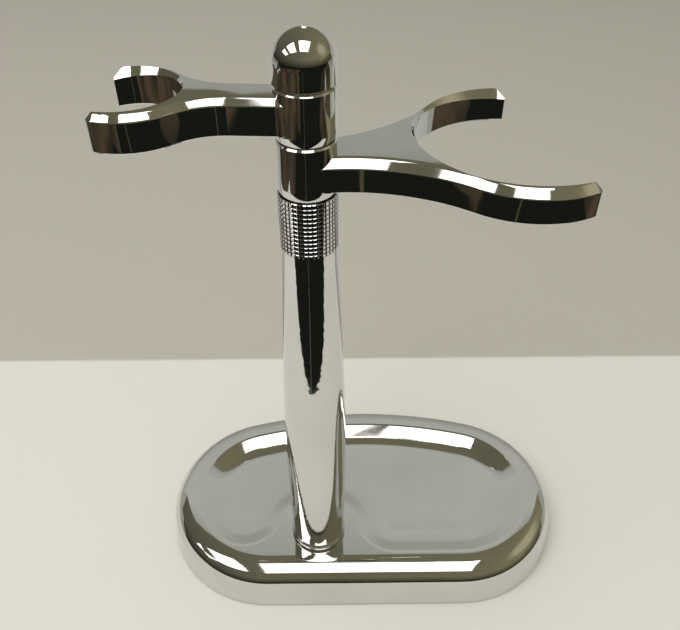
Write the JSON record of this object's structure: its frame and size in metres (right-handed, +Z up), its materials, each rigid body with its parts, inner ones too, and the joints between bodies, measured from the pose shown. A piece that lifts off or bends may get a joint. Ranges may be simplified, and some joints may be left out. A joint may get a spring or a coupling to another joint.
{
  "type": "razor and shaving brush stand",
  "caption": "Chromed stand: a post on a weighted oval dish base carries two swivelling forks, a wide one for a shaving brush and a narrow one for a razor, under a domed cap.",
  "frame": {"origin": "middle of the oval base, on the table surface under the pad", "axes": "+Z up along the post, +X towards the brush fork's side, -Y towards the straight front edge of the base"},
  "size_m": [0.0926, 0.0522, 0.1225],
  "materials": {
    "cast_chrome": "polished chrome over a die casting, slightly wavy",
    "turned_chrome": "polished chrome over a turned bar",
    "knurled_chrome": "bright chrome over square-cut knurling",
    "fork_chrome": "polished chrome over a casting, slightly wavy",
    "zinc_steel": "zinc plated",
    "ballast_steel": "bare cut plate",
    "pad_rubber": "matt foam rubber sheet",
    "friction_nylon": "natural nylon"
  },
  "bodies": {
    "stand": {"base_casting": "cast_chrome", "base_pad": "pad_rubber", "ballast_plate": "ballast_steel", "post_screw": "zinc_steel", "lock_washer": "zinc_steel", "flat_washer": "zinc_steel", "post": "turned_chrome", "knurled_collar": "knurled_chrome", "stud": "zinc_steel", "lower_friction_washer": "friction_nylon", "middle_friction_washer": "friction_nylon", "upper_friction_washer": "friction_nylon"},
    "brush_fork": {"brush_fork": "fork_chrome"},
    "razor_fork": {"razor_fork": "fork_chrome"},
    "domed_cap": {"domed_cap": "turned_chrome"}
  },
  "joints": [
    {"name": "brush_fork_swivel", "type": "hinge", "parent": "stand", "child": "brush_fork", "pos_m": [-0.0105, -0.0129, 0.103], "axis": [0, 0, 1], "continuous": true},
    {"name": "razor_fork_swivel", "type": "hinge", "parent": "stand", "child": "razor_fork", "pos_m": [-0.0105, -0.0129, 0.111], "axis": [0, 0, 1], "continuous": true},
    {"name": "cap_turn", "type": "hinge", "parent": "stand", "child": "domed_cap", "pos_m": [-0.0105, -0.0129, 0.1175], "axis": [0, 0, 1], "range_deg": [0, 360]}
  ]
}
